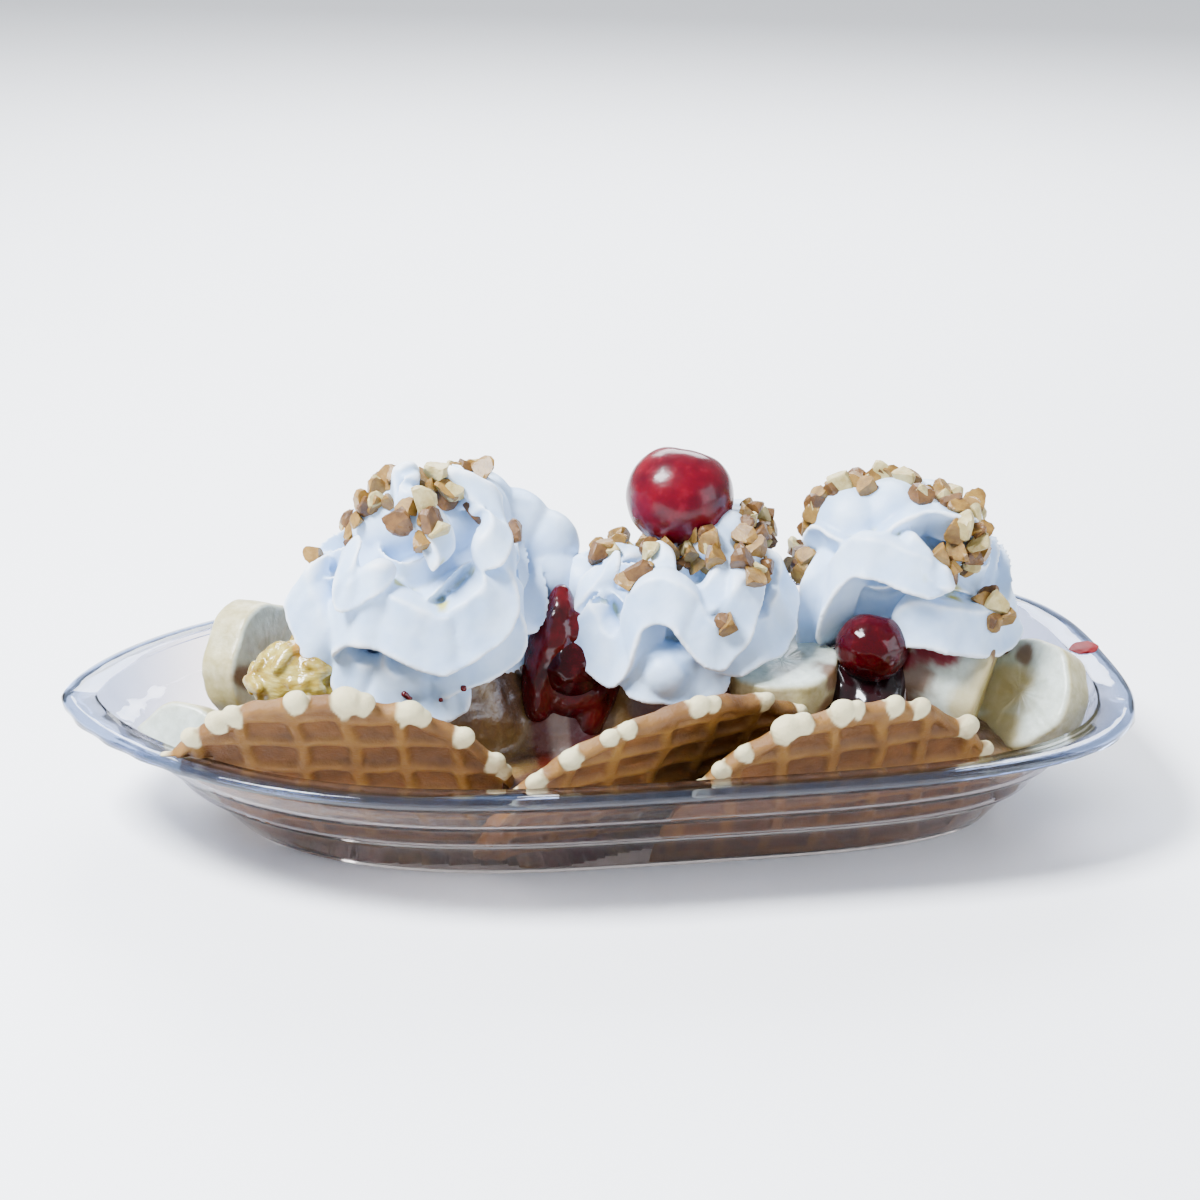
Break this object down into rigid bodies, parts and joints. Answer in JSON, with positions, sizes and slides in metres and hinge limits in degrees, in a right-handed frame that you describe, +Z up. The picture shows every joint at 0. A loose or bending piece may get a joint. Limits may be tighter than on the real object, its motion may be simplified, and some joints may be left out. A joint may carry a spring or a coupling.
{
  "type": "banana split",
  "caption": "Ice cream dessert in a long clear boat, topped with piped cream swirls, cherries, chopped nuts, banana slices, pineapple and waffle halves.",
  "frame": {"origin": "middle of the boat's rim outline, on the surface that the boat stands on", "axes": "+X along the boat towards its blunt, loaded end; +Z up; -Y is the side that the waffles stand against"},
  "size_m": [0.2213, 0.111, 0.0775],
  "materials": {
    "boat": "clear thermoformed plastic",
    "cherry_top": "wet glossy preserved cherry",
    "cherry_dark": "wet dark cherry",
    "waffle": "baked waffle, satin",
    "banana": "moist cut banana",
    "pineapple": "wet crushed pineapple",
    "ice_cream": "ice cream, half melted and sauced",
    "cream": "whipped cream, satin"
  },
  "bodies": {
    "root": {"boat": "boat", "cherry_top": "cherry_top", "cherry_dark_left": "cherry_dark", "cherry_dark_right": "cherry_dark", "waffle_left": "waffle", "waffle_middle": "waffle", "waffle_right": "waffle", "banana_left_upright": "banana", "banana_left_low": "banana", "banana_right_upper": "banana", "banana_right_lower": "banana", "banana_right_large": "banana", "banana_right_end": "banana", "pineapple": "pineapple", "ice_cream": "ice_cream", "cream_left": "cream", "cream_middle": "cream", "cream_right": "cream"}
  },
  "joints": []
}
